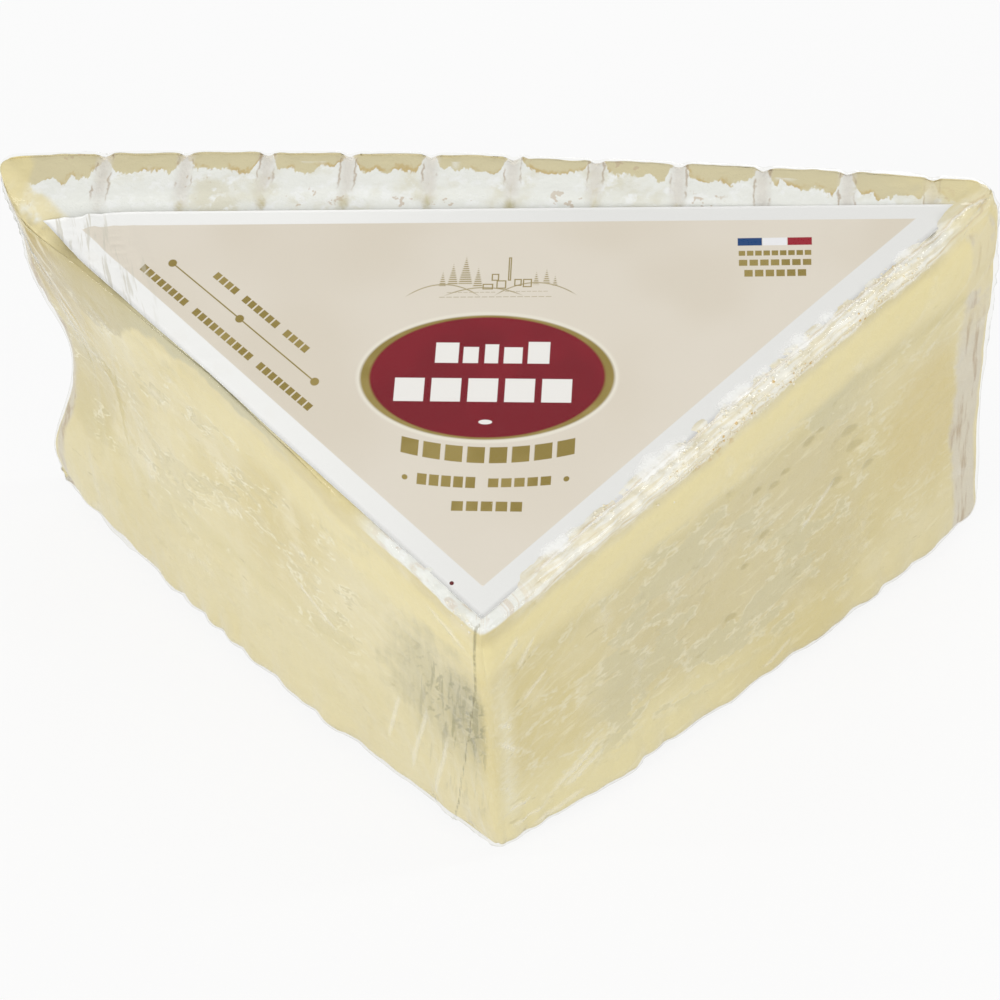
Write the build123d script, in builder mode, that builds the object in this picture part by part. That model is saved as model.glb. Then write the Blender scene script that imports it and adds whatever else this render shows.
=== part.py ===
"""A retail wedge of soft white-rind cheese in clear film, with a paper label under the film.

The wedge is a quarter cut from a square cheese: a nearly straight rind side at the back (+Y),
two cut faces that meet at a tip (-Y), a flat base and a rind top that slopes down to the tip.
It lies on its base, Z is up, and the origin is under the middle of its box.
"""
import os
from math import atan, atan2, cos, pi, sin, tan

from build123d import *

# Driving dimensions, in millimetres
back_width = 130.0  # across the rind side
wedge_depth = 68.0  # from the middle of the rind side to the tip
back_height = 61.5  # at the rind side
tip_height = 44.2  # at the tip

# Plan of the wedge
tip_offset = 4.6  # the knife missed the middle of the cheese, so the tip lies to the right
rind_bow = 2.1  # how far the middle of the rind side stands out from its ends
corner_radius = 2.4  # the two upright edges at the ends of the rind side
tip_radius = 2.2  # the upright edge at the tip
foot_bow = 2.4  # how far each soft cut face has slumped outwards at its foot
rim_bow = 0.6  # the same at the rind
waist = 1.2  # how far the film pulls a cut face in, half way up

# Softened edges
base_round = 3.0  # round the base
rim_round = 1.0  # round the rind
round_steps = 4  # facets across a softened edge
wall_steps = 6  # facets from the base edge up to the rind edge

# Grooves of the draining mat, printed across the rind and down the rind side
groove_count = 11
groove_pitch = 10.8
groove_shift = 2.8  # how far the middle groove lies to the right of the origin
groove_radius = 1.2
groove_depth = 0.6
groove_length = 6.0  # how far a groove runs in over the top

# Label and film
label_thickness = 0.3
label_margin = 1.2  # between the label and the cut faces
label_corner = 0.8
rind_strip = 8.6  # bare rind behind the label
label_turn = 2.6  # degrees that the label lies askew
film_thickness = 0.3
film_cling = 0.1  # clearance between the film and what it wraps

slope = (back_height - tip_height) / wedge_depth
middle_height = (back_height + tip_height) / 2
cheese_inset = film_thickness + film_cling
cheese_drop = cheese_inset + label_thickness  # from the film's top down to the rind
cut_depth = wedge_depth - rind_bow
right_angle = atan2(cut_depth, back_width / 2 - tip_offset)  # rind side to right cut face
left_angle = atan2(cut_depth, back_width / 2 + tip_offset)
half_tip_angle = (pi - right_angle - left_angle) / 2
tip_heading = (pi + right_angle - left_angle) / 2  # from the tip straight into the wedge


def level(share, base, drop):
    """The plane a share of the way from the flat base up to the sloping top."""
    tilt = atan(share * slope)
    height = base + share * (middle_height - drop - base)
    return Plane(origin=(0, 0, height), x_dir=(1, 0, 0), z_dir=(0, -sin(tilt), cos(tilt)))


def rind_end_x(angle, inset):
    """Where a cut face would meet the rind side if their edge weren't rounded."""
    reach = corner_radius * (1 / tan(angle / 2) - 1)
    return back_width / 2 + reach - inset / tan(angle / 2)


def plan_points(share, inset):
    """The ends and middles of a section's three bowed sides, on its own plane."""
    stretch = 1 / cos(atan(share * slope))
    bow = foot_bow + share * (rim_bow - foot_bow) - waist * sin(pi * share)
    set_back = inset / sin(half_tip_angle) - tip_radius * (1 / sin(half_tip_angle) - 1)
    back = wedge_depth / 2 - rind_bow - inset
    tip_x = tip_offset + set_back * cos(tip_heading)
    tip_y = -wedge_depth / 2 + set_back * sin(tip_heading)
    right = rind_end_x(right_angle, inset)
    left = -rind_end_x(left_angle, inset)
    plan = {
        "right": (right, back),
        "back": (0, back + rind_bow),
        "left": (left, back),
        "left_side": (
            (left + tip_x) / 2 - bow * sin(left_angle),
            (back + tip_y) / 2 - bow * cos(left_angle),
        ),
        "tip": (tip_x, tip_y),
        "right_side": (
            (right + tip_x) / 2 + bow * sin(right_angle),
            (back + tip_y) / 2 - bow * cos(right_angle),
        ),
    }
    return {name: (x, y * stretch) for name, (x, y) in plan.items()}


def wall_sections():
    """(share of the height, inset) of each section, from the base up."""
    turns = [step / round_steps * pi / 2 for step in range(round_steps + 1)]
    base_share = base_round / middle_height
    rim_share = rim_round / middle_height
    base_edge = [(base_share * (1 - cos(a)), base_round * (1 - sin(a))) for a in turns]
    rim_edge = [(1 - rim_share * (1 - cos(a)), rim_round * (1 - sin(a))) for a in turns]
    rise = (1 - rim_share - base_share) / wall_steps
    walls = [(base_share + rise * step, 0) for step in range(1, wall_steps)]
    return base_edge + walls + rim_edge[::-1]


def wedge(inset, base, drop):
    """The whole wedge, lofted a given distance inside its full size."""
    with BuildPart() as body:
        for share, pull in wall_sections():
            at = plan_points(share, inset + pull)
            with BuildSketch(level(share, base, drop)) as section:
                with BuildLine():
                    ThreePointArc(at["right"], at["back"], at["left"])
                    ThreePointArc(at["left"], at["left_side"], at["tip"])
                    ThreePointArc(at["tip"], at["right_side"], at["right"])
                make_face()
                fillet(section.vertices().sort_by(Axis.Y)[0], tip_radius)
                ends = section.vertices().group_by(Axis.X)
                fillet(ends[0] + ends[-1], corner_radius)
        loft(ruled=True)
    return body.part


def groove_ends():
    """(x, y) on the rind side where each groove turns down it."""
    for index in range(groove_count):
        x = groove_shift + (index - (groove_count - 1) / 2) * groove_pitch
        stand_out = rind_bow * (1 - (2 * x / back_width) ** 2)
        yield x, wedge_depth / 2 - rind_bow - cheese_inset + stand_out


os.makedirs("parts", exist_ok=True)

rind_top = level(1, film_thickness, cheese_drop)
stand_off = groove_radius - groove_depth  # from the rind out to a groove's axis
from_end = (Align.CENTER, Align.CENTER, Align.MIN)

# The cheese: cut faces and rind, with the grooves down the rind side and over the top
with BuildPart() as cheese:
    add(wedge(cheese_inset, film_thickness, cheese_drop))
    with Locations(*((x, y + stand_off, film_thickness) for x, y in groove_ends())):
        Cylinder(groove_radius, back_height, align=from_end, mode=Mode.SUBTRACT)
    over_top = [
        rind_top.location * Pos(x, y / cos(atan(slope)) - groove_length, stand_off) * Rot(-90, 0, 0)
        for x, y in groove_ends()
    ]
    with Locations(*over_top):
        Cylinder(groove_radius, 2 * groove_length, align=from_end, mode=Mode.SUBTRACT)

cheese.part.label = "cheese"
export_step(cheese.part, "parts/cheese.step")

# The label: a paper triangle on the rind, cut straight across behind, that lies a little askew
with BuildPart() as label:
    at = plan_points(1, cheese_inset + label_margin)
    with BuildSketch(rind_top) as paper:
        with BuildLine():
            Polyline(at["left"], at["tip"], at["right"], close=True)
        make_face()
        with Locations((0, at["back"][1] + label_margin - rind_strip)):
            Rectangle(
                2 * back_width,
                wedge_depth,
                rotation=label_turn,
                align=(Align.CENTER, Align.MIN),
                mode=Mode.SUBTRACT,
            )
        fillet(paper.vertices(), label_corner)
    extrude(amount=label_thickness)

label.part.label = "label"
export_step(label.part, "parts/label.step")

# The film: a closed skin drawn tight over the cheese and its label
with BuildPart() as film:
    add(wedge(0, 0, 0))
    add(wedge(film_thickness, film_thickness, film_thickness), mode=Mode.SUBTRACT)

film.part.label = "film"
export_step(film.part, "parts/film.step")
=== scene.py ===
import functools
import math

import bpy
import numpy as np
from mathutils import Matrix, Vector
from mathutils.bvhtree import BVHTree


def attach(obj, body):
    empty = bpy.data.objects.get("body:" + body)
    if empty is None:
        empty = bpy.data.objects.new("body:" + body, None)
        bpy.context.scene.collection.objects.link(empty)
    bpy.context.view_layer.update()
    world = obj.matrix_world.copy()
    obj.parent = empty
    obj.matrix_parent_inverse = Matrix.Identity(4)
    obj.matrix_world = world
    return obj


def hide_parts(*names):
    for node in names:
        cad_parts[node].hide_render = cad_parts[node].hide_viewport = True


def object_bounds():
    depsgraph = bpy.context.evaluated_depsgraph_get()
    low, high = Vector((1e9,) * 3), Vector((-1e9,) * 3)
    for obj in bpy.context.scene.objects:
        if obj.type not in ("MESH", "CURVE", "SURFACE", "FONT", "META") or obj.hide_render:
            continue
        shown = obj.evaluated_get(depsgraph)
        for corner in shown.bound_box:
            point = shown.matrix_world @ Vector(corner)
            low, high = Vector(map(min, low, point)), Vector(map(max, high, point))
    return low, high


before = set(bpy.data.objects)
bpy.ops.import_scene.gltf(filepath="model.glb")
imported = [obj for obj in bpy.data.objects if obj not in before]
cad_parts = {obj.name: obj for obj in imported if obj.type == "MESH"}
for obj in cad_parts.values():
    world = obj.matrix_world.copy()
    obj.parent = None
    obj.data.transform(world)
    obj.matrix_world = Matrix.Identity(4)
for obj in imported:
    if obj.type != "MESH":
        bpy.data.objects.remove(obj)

# A wedge of soft white-rind cheese under clear film, with a paper label beneath the film.
# Shapes are worked out in millimetres in the frame's axes and become metres in add_piece().

MM = 0.001
start_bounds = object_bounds()


# ---------------------------------------------------------------- the frame's measures

film_points = np.array([v.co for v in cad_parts["film"].data.vertices]) / MM
film_high = film_points.max(axis=0)
tip = film_points[film_points[:, 1].argmin(), :2]
rear_left = film_points[film_points[:, 0].argmin(), :2]
rear_right = film_points[film_points[:, 0].argmax(), :2]


def top_plane():
    """Slope along Y and the height over the origin of the film's sloping top."""
    tops = [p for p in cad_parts["film"].data.polygons if p.normal.z > 0.9]
    widest = max(tops, key=lambda p: p.area)
    slope = -widest.normal.y / widest.normal.z
    middle = widest.normal.dot(widest.center) / widest.normal.z / MM
    return slope, middle


SLOPE, MIDDLE = top_plane()
BACK_BOW = film_high[1] - (rear_left[1] + rear_right[1]) / 2


def unit(v):
    return v / np.linalg.norm(v)


def outward(a, b):
    """The level direction that points away from the wedge across its side from a to b."""
    along = unit(b - a)
    across = np.array([along[1], -along[0]])
    centre = (tip + rear_left + rear_right) / 3
    return across if across @ (a - centre) > 0 else -across


left_out = outward(rear_left, tip)
right_out = outward(tip, rear_right)
back_out = np.array([0.0, 1.0])


# ---------------------------------------------------------------- small maths helpers


def smooth(a, b, x):
    t = np.clip((x - a) / (b - a), 0, 1)
    return t * t * (3 - 2 * t)


def hill(x, centre, width):
    return np.exp(-(((x - centre) / width) ** 2))


def lattice(x, y, z, seed):
    """A repeatable value from 0 to 1 for each whole-number place."""
    n = (x * 374761393 + y * 668265263 + z * 1442695041 + seed * 974634777) & 0x7FFFFFFF
    n = ((n ^ (n >> 13)) * 1274126177) & 0x7FFFFFFF
    n = n ^ (n >> 16)
    return (n & 0xFFFF) / 65535.0


def noise(points, size, seed):
    """Soft lumps between -1 and 1; size is one number or one for each axis."""
    p = points / np.asarray(size, float)
    cell = np.floor(p).astype(np.int64)
    f = p - cell
    f = f * f * f * (f * (f * 6 - 15) + 10)
    total = np.zeros(len(p))
    for dx in (0, 1):
        for dy in (0, 1):
            for dz in (0, 1):
                weight = np.abs(1 - dx - f[:, 0]) * np.abs(1 - dy - f[:, 1])
                weight = weight * np.abs(1 - dz - f[:, 2])
                total += weight * lattice(cell[:, 0] + dx, cell[:, 1] + dy, cell[:, 2] + dz, seed)
    return total * 2 - 1


def lumps(points, size, seed, layers=3):
    """Noise with finer noise on top of it."""
    size = np.asarray(size, float)
    total = np.zeros(len(points))
    for layer in range(layers):
        total += noise(points, size / 2**layer, seed + layer) / 2**layer
    return total


def ridged(points, size, seed):
    """Narrow creases, 1 along each crease and 0 between them."""
    return 1 - np.clip(np.abs(noise(points, size, seed)) * 3.2, 0, 1)


def creases(a, b, seed):
    """Narrow creases over two measures, each given in widths of a crease."""
    return ridged(np.stack([a, b, a * 0], axis=1), 1.0, seed)


def near_line(a, b, at, to, width, tapered=True):
    """1 along a straight stretch from at to to, fading over width, with tapered ends."""
    at, to = np.array(at, float), np.array(to, float)
    run = to - at
    share = ((a - at[0]) * run[0] + (b - at[1]) * run[1]) / (run @ run)
    held = np.clip(share, 0, 1)
    off = np.hypot(a - at[0] - held * run[0], b - at[1] - held * run[1])
    taper = smooth(-0.02, 0.25, held) * smooth(1.02, 0.75, held)
    return np.exp(-((off / width) ** 2)) * (0.25 + 0.75 * taper if tapered else 1)


# ---------------------------------------------------------------- the wedge's closed skin


def meeting(n1, d1, n2, d2):
    return np.linalg.solve(np.array([n1, n2]), np.array([d1, d2]))


def patch(a, b, c, d, across, up):
    """A grid of (across + 1) by (up + 1) points between four corners."""
    u = np.linspace(0, 1, across + 1)[None, :, None]
    v = np.linspace(0, 1, up + 1)[:, None, None]
    return (1 - u) * (1 - v) * a + u * (1 - v) * b + u * v * c + (1 - u) * v * d


def skin_grid():
    """Points and faces of a closed wedge that stands a little outside the film."""
    share = 1.0
    fine = int(112 * share)
    wide = int(80 * share)
    rows = int(86 * share)
    plan = film_points[:, :2]
    walls = [left_out, back_out, right_out]
    reach = [(plan @ w).max() + 0.6 for w in walls]
    point, left, right = [
        meeting(walls[i - 1], reach[i - 1], walls[i], reach[i]) for i in range(3)
    ]
    mid_left, mid_back, mid_right = (point + left) / 2, (left + right) / 2, (point + right) / 2
    centre = (point + left + right) / 3

    def low(p):
        return np.array([p[0], p[1], -0.6])

    def top(p):
        return np.array([p[0], p[1], MIDDLE + 0.8 + SLOPE * p[1]])

    # round the wedge, seen from above, against the clock
    legs = [
        (point, mid_right, fine),
        (mid_right, right, wide),
        (right, mid_back, fine),
        (mid_back, left, fine),
        (left, mid_left, wide),
        (mid_left, point, fine),
    ]
    grids = [patch(low(p), low(q), top(q), top(p), count, rows) for p, q, count in legs]
    tops = [
        (point, mid_right, centre, mid_left, fine, fine),
        (right, mid_back, centre, mid_right, fine, wide),
        (left, mid_left, centre, mid_back, wide, fine),
    ]
    for p, q, r, s, across, up in tops:
        grids.append(patch(top(p), top(q), top(r), top(s), across, up))
    for p, q, count in legs:
        grids.append(patch(low(q), low(p), low(centre), low(centre), count, 9))

    points, faces, start = [], [], 0
    for grid in grids:
        high, across = grid.shape[:2]
        points.append(grid.reshape(-1, 3))
        at = start + np.arange(high * across).reshape(high, across)
        quads = np.stack([at[:-1, :-1], at[:-1, 1:], at[1:, 1:], at[1:, :-1]], axis=-1)
        faces.append(quads.reshape(-1, 4))
        start += high * across
    points = np.concatenate(points)
    faces = np.concatenate(faces)
    _, first, same = np.unique(
        np.round(points * 1e4).astype(np.int64), axis=0, return_index=True, return_inverse=True
    )
    return points[first], same.reshape(-1)[faces]


def pull_onto(points, tree):
    """The nearest places on a surface, and its outward directions there."""
    found = [tree.find_nearest(Vector(p)) for p in points]
    places = np.array([f[0] for f in found])
    directions = np.array([f[1] for f in found])
    return places, directions


def cad_tree(name):
    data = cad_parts[name].data
    corners = [Vector(v.co) / MM for v in data.vertices]
    return BVHTree.FromPolygons(corners, [tuple(p.vertices) for p in data.polygons])


def gather(at, values, count):
    """Adds up the rows of values that share a place in at."""
    return np.stack([np.bincount(at, column, count) for column in values.T], axis=1)


def relax(points, faces, rounds, share=0.5):
    """Evens out the facets by moving each point towards its neighbours."""
    edges = np.concatenate([np.stack([faces[:, i - 1], faces[:, i]], axis=1) for i in range(4)])
    edges = np.sort(edges[edges[:, 0] != edges[:, 1]], axis=1)
    a, b = np.unique(edges, axis=0).T
    n = len(points)
    count = (np.bincount(a, minlength=n) + np.bincount(b, minlength=n))[:, None]
    for _ in range(rounds):
        total = gather(a, points[b], n) + gather(b, points[a], n)
        points = points + share * (total / count - points)
    return points


def directions(points, faces):
    """Outward unit directions at the points of a closed grid."""
    across = points[faces[:, 2]] - points[faces[:, 0]]
    along = points[faces[:, 3]] - points[faces[:, 1]]
    face = np.cross(across, along)
    total = sum(gather(faces[:, corner], face, len(points)) for corner in range(4))
    return total / np.linalg.norm(total, axis=1)[:, None]


# ---------------------------------------------------------------- the slumped, film-drawn form

skin, skin_faces = skin_grid()
skin, _ = pull_onto(skin, cad_tree("film"))
skin = relax(skin, skin_faces, 9)


def places(points):
    """Distance from the tip in plan, side of the tip, height, and depth below the top."""
    off = points[:, :2] - tip
    along = np.hypot(off[:, 0], off[:, 1])
    below = MIDDLE + SLOPE * points[:, 1] - points[:, 2]
    return along, off[:, 0], points[:, 2], below


def slump(points, normals):
    """The wedge as it really sits: dragged by the film at its rear edges, spread at its foot."""
    along, side, up, below = places(points)
    left = (side < 0) * 1.0
    out_left = points[:, :2] @ left_out - rear_left @ left_out
    cut_left = smooth(0.35, 0.85, normals[:, :2] @ left_out)
    cut_right = smooth(0.35, 0.85, normals[:, :2] @ right_out)
    moved = points.copy()

    # the label's wing holds the film away from the left cut face near the top
    reach = np.clip(0.06 * along - 3.0, 0, 2.1) * smooth(97, 86, along) * left
    lift = reach * smooth(-7, 0.5, out_left) * smooth(17, 0, below)
    moved[:, :2] += left_out * lift[:, None]
    moved[:, 2] += lift * left_out[1] * SLOPE
    flat_rim = left * smooth(22, 40, along) * smooth(1.6, 0.4, below)
    moved[:, 2] += 0.7 * np.clip(below, 0, None) * flat_rim
    droop = 1.4 * smooth(74, 84, along) * smooth(97, 88, along) * left
    moved[:, 2] -= droop * smooth(-3.5, 0.5, out_left) * smooth(7, 0, below)

    # the film has drawn the left rear edge in at half height
    waist = hill(up, 27, 13) * smooth(64, 92, along) * left
    moved[:, 0] += 5.2 * waist
    moved[:, 0] += 1.2 * hill(up, 50, 6) * smooth(84, 93, along) * left
    moved[:, 0] -= 1.0 * hill(up, 8, 4.5) * smooth(86, 97, along) * left

    # both cut faces spread at the foot in uneven scallops
    swell = hill(up, 1.0, 5.5)
    beat = along / 8.2 + 1.3 * noise(points * [1, 1, 0], 15, 5)
    scallop = np.abs(np.sin(np.pi * beat)) - 0.6
    spread = (0.7 * scallop + 0.6 * noise(points * [1, 1, 0.4], 6.5, 9)) * swell
    spread += 0.22 * noise(points * [1, 1, 0.4], 2.6, 10) * swell
    moved += normals * ((cut_left * 0.75 + cut_right * 0.65) * spread)[:, None]

    # the right rear corner is rubbed off a little at the top
    moved[:, 0] -= 1.3 * smooth(60, 65, points[:, 0]) * smooth(3.5, 0, below)

    # the rind has sunk a little towards the rear
    moved[:, 2] -= 0.6 * smooth(8, 32, points[:, 1]) * smooth(12, 0, below)

    # low swells across the paste
    easy = 0.45 * lumps(points, 21, 31, 2) + 0.12 * noise(points, 6.5, 35)
    moved += normals * ((cut_left + cut_right) * easy)[:, None]
    return moved


normals = directions(skin, skin_faces)
body = slump(skin, normals)
normals = directions(body, skin_faces)
along, side, up, below = places(body)
is_left = (side < 0) * 1.0
is_right = 1 - is_left
cut_left = smooth(0.3, 0.8, normals[:, :2] @ left_out) * is_left
cut_right = smooth(0.3, 0.8, normals[:, :2] @ right_out) * is_right
on_cut = cut_left + cut_right
on_top = smooth(0.6, 0.9, normals[:, 2])
on_back = smooth(0.5, 0.9, normals[:, 1]) * (1 - on_top)
inner_right = rear_right @ right_out - body[:, :2] @ right_out
inner_left = rear_left @ left_out - body[:, :2] @ left_out
to_right_rim = np.hypot(below, np.clip(inner_right, 0, None))
to_left_rim = np.hypot(below, np.clip(inner_left, 0, None))
rear = film_high[1] - BACK_BOW * (body[:, 0] / film_high[0]) ** 2 - body[:, 1]

GROOVE_PITCH = 10.8
GROOVE_SHIFT = 2.8
groove_beat = (body[:, 0] - GROOVE_SHIFT) / GROOVE_PITCH
near_groove = np.abs(groove_beat - np.round(groove_beat)) * GROOVE_PITCH
groove_line = hill(near_groove, 0, 0.75) * (np.abs(body[:, 0] - GROOVE_SHIFT) < 57)


def fold_height(points):
    """Folds across the label's wing, where the film has bunched the paper."""
    along, side, _, _ = places(points)
    beat = (points[:, 0] + 0.36 * points[:, 1])[:, None] * [1, 0, 0]
    beat = beat + points * [0, 0.09, 0]
    folds = ridged(beat, [1.9, 1.9, 1.9], 71)
    out_left = points[:, :2] @ left_out - rear_left @ left_out
    where = smooth(62, 74, along) * (side < 0) * smooth(-8, -4, out_left)
    where = where * smooth(24.5, 22.0, points[:, 1])
    ripples = ridged(points * [1, 1, 0], 2.4, 77) * smooth(30, 45, along) * (side < 0)
    ripples = ripples * smooth(-5.5, -3.5, out_left) * smooth(74, 62, along)
    return 0.42 * folds * where + 0.05 * ripples


def drag_lines(a, b, slant, length, width, seed):
    """Long creases that run along a slanting direction on a cut face."""
    c, s = math.cos(math.radians(slant)), math.sin(math.radians(slant))
    return creases((a * c + b * s) / length, (b * c - a * s) / width, seed)


# pits, eyes and torn places on the right cut face: distance from the tip, height, radius
eyes = [
    (62.7, 34.2, 1.7), (63.6, 31.0, 1.5), (55.1, 37.5, 1.3), (57.0, 38.2, 0.9),
    (60.2, 26.7, 1.3), (48.8, 33.8, 1.2), (50.8, 34.9, 0.9), (47.2, 25.8, 1.2),
    (43.6, 22.8, 0.9), (66.0, 26.2, 1.4), (45.8, 35.0, 1.0), (40.4, 15.6, 1.2),
]

luck = np.random.default_rng(24)
small_eyes = np.stack(
    [luck.uniform(24, 74, 70), luck.uniform(8, 42, 70), luck.uniform(0.35, 0.8, 70)], axis=1
)
torn_marks = np.stack(
    [luck.uniform(10, 78, 80), luck.uniform(6, 44, 80), luck.uniform(0.3, 0.6, 80)], axis=1
)


def cheese_relief():
    """How far the cheese stands out from the wrapped form, in millimetres."""
    height = 0.07 * noise(body, 3.4, 41) + 0.04 * noise(body, 1.5, 43)
    height = height * (1 - 0.6 * on_top)

    # crumbled ridge of rind and mould along the right rim, a shorter one left of the tip
    crumble = lumps(body, 1.9, 47, 3)
    rim_right = hill(to_right_rim, 0.6, 1.9) * is_right * smooth(3, 12, along)
    height += rim_right * (0.45 + 0.38 * crumble) * smooth(3.2, 2.0, inner_right)
    rim_left = hill(to_left_rim, 0.6, 1.2) * is_left * smooth(16, 8, along)
    height += rim_left * (0.2 + 0.25 * crumble)

    # the bare shoulder of paste below the ridge, then the pressed zone
    height += 0.45 * hill(below, 7.0, 3.6) * cut_right
    height -= 0.30 * hill(below, 3.2, 0.9) * cut_right
    pressed = smooth(0.0, 0.5, noise(body, [13, 13, 9], 53) + 0.15)
    height -= 0.22 * pressed * cut_right * smooth(9, 13, below) * smooth(4, 9, up)
    height -= 0.12 * pressed * cut_left * smooth(12, 18, below)

    rise = up - 21 + 0.12 * along + 2.2 * noise(body, 16, 57)
    height += 0.3 * hill(rise, 0, 2.4) * cut_left * smooth(22, 34, along) * smooth(86, 74, along)
    rough = lumps(body, 1.6, 59, 2) * smooth(-0.05, 0.35, noise(body, 7, 61))
    height += 0.11 * rough * on_cut * smooth(6, 11, below)

    for s, h, r in [*eyes, *small_eyes]:
        height -= 0.5 * min(r, 1.0) * hill(np.hypot(along - s, (up - h) * 1.3), 0, r) * cut_right
    for s, h, r in torn_marks:
        height -= 0.3 * hill(np.hypot((along - s) * 0.6, up - h), 0, r) * cut_left

    # rind: grooves of the draining mat, cracked edges, worn rim
    felt = lumps(body, 2.6, 67, 3)
    strip = on_top * smooth(12, 9, rear) + on_back
    height += 0.10 * felt * strip
    height -= 0.45 * groove_line * on_top * smooth(12, 9, rear) + 0.6 * groove_line * on_back
    height += 0.34 * smooth(7.5, 5.5, rear) * on_top + 0.22 * on_back
    height += 0.25 * smooth(80, 88, along) * on_cut
    height += 0.36 * smooth(3.6, 2.2, inner_right) * is_right * on_top
    height += 0.32 * smooth(3.0, 1.0, inner_left) * is_left * on_top
    return height - 0.45 - 0.3 * on_top + 0.28 * hill(up, 0, 6) * on_cut


def film_relief():
    """Creases, tents and laps of the film, in millimetres above the wrapped form."""
    height = 0.05 * np.abs(noise(body, 5.0, 83))

    # bunched at both rear corners
    fan = drag_lines(along, up, 39, 26, 1.35, 85)
    height += 0.3 * fan * cut_left * smooth(62, 74, along) * smooth(37, 49, up)
    fan = drag_lines(along, up, 39, 22, 1.2, 86)
    height += 0.38 * fan * cut_right * smooth(62, 74, along) * smooth(34, 46, up)
    fan = drag_lines(along, up, 84, 30, 1.5, 87)
    height += 0.12 * fan * (cut_left + cut_right) * smooth(79, 88, along)

    # gathered down both sides of the tip
    fan = drag_lines(along, up, 82, 24, 1.0, 88)
    height += 0.26 * fan * cut_left * smooth(22, 14, along) * smooth(32, 22, up)
    fan = drag_lines(along, up, 38, 12, 1.3, 90)
    height += 0.34 * fan * cut_right * smooth(22, 14, along) * smooth(2, 6, up)

    net = creases(along / 1.5, up / 3.2, 89)
    height += 0.16 * net * cut_left * smooth(17, 12, along) * hill(up, 22, 16)
    net = creases((along - 1.2 * up) / 9, (up + 0.4 * along) / 1.1, 92)
    height += 0.2 * net * cut_right * smooth(8, 3, along) * hill(up, 24, 15)

    # drawn upright and slanting behind the right rim's far end
    drawn = creases((along + 0.25 * up) / 1.3, up / 12, 98)
    height += 0.2 * drawn * cut_right * smooth(76, 82, along) * smooth(22, 32, up)

    # loose upright folds on the rind side
    across, rise = body[:, 0] / 3.1, up / 30
    height += 0.24 * creases(across, rise, 94) * on_back * smooth(36, 58, np.abs(body[:, 0]))
    height += 0.12 * creases(across * 1.4, rise * 5, 96) * on_back * smooth(24, 4, up)

    # bridged over the rims
    height += 0.3 * hill(to_right_rim, 0, 1.8) * is_right
    rim = creases(along / 9, (below + 1.2 * inner_right) / 0.9, 91)
    bunched = hill(to_right_rim, 0.6, 2.4) * is_right * smooth(5, 15, along)
    height += 0.13 * rim * bunched
    for at, half in ((14, 3.2), (30.5, 5), (43, 3), (53, 3.2), (59, 1.6), (72, 2.2)):
        height += 0.15 * hill(along, at, half) * hill(inner_right, 1.8, 1.5) * is_right * on_top

    # puckered round the foot
    height += (0.22 * creases(along / 2.2, up / 14, 93) - 0.12) * hill(up, 2.5, 3.5) * on_cut
    return height


# drawn creases: from (distance from the tip, height), to, half width, height
right_stretches = [
    ((7.7, 7.8), (17.0, 11.8), 0.75, 0.5), ((9.6, 6.6), (17.8, 9.9), 0.65, 0.42),
    ((4.6, 3.0), (14.5, 4.4), 0.5, 0.3), ((1.2, 9.2), (5.8, 8.6), 0.36, 0.34),
    ((1.4, 5.4), (7.2, 6.0), 0.36, 0.34), ((1.0, 22.6), (3.6, 19.4), 0.34, 0.3),
    ((1.0, 26.4), (3.2, 24.2), 0.34, 0.26), ((4.2, 33.4), (7.8, 38.0), 0.36, 0.3),
    ((2.2, 36.4), (5.0, 40.2), 0.36, 0.3), ((4.6, 27.0), (9.8, 30.4), 0.34, 0.26),
    ((44.0, 3.8), (51.0, 6.0), 0.36, 0.2), ((52.0, 22.5), (60.0, 29.5), 0.36, 0.16),
]
left_stretches = [
    ((9.6, 42.0), (1.6, 38.6), 0.42, 0.42), ((11.5, 2.0), (7.0, 20.0), 0.34, 0.26),
    ((15.5, 4.5), (11.0, 22.0), 0.34, 0.2), ((19.5, 8.0), (16.4, 20.0), 0.32, 0.18),
    ((37.0, 26.0), (27.0, 21.5), 0.4, 0.14),
]

# the drawn creases also carry a painted white highlight in the film's colour
crease_sheen = np.zeros(len(body))
crease_height = np.zeros(len(body))
for face, stretches in ((cut_right, right_stretches), (cut_left, left_stretches)):
    for start, end, width, height in stretches:
        line = near_line(along, up, start, end, width + 0.15) * face
        crease_height += height * line
        crease_sheen = np.maximum(crease_sheen, line)

# the lap of the film, down the left of the tip
seam_path = [(0.4, 46.0), (0.9, 40.0), (1.4, 32.0), (2.6, 24.5), (3.6, 20.8), (6.0, 8.0), (8.6, -1.0)]
seam = np.zeros(len(body))
for start, end in zip(seam_path, seam_path[1:]):
    seam = np.maximum(seam, near_line(along, up, start, end, 0.5, False) * is_left)

folds = fold_height(body)
cheese_height = cheese_relief()
film_height = film_relief() + crease_height + 0.25 * seam
film_height = np.maximum(film_height, folds + 0.05)
film_height = np.maximum(film_height, cheese_height + 0.12)
crumbly = hill(to_right_rim, 1.2, 1.2) * is_right * smooth(10, 16, along) * smooth(88, 80, along)
crumbly = crumbly * smooth(2.2, 1.2, inner_right)
crumbly += 0.6 * hill(to_left_rim, 1.2, 0.8) * is_left * smooth(14, 9, along)
crumbly = crumbly * smooth(0.0, 0.4, noise(body, 5.5, 95) + 0.25)
bridge = hill(to_right_rim, 0.8, 2.2) * is_right * smooth(8, 14, along) * smooth(92, 86, along)
bridge = np.maximum(bridge, 0.5 * hill(to_left_rim, 0.8, 1.6) * is_left * smooth(18, 12, along))
film_height = np.maximum(film_height, bridge * (0.4 + 0.15 * noise(body, 4.0, 97)))
film_height = np.maximum(film_height, cheese_height + 0.12 + 0.3 * np.clip(crumbly, 0, 1))
notch = groove_line * smooth(3.0, 0.4, rear) * on_top + groove_line * on_back
film_height -= 0.5 * notch
film_height = np.maximum(film_height, cheese_height + 0.1)


# ---------------------------------------------------------------- pieces


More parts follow.
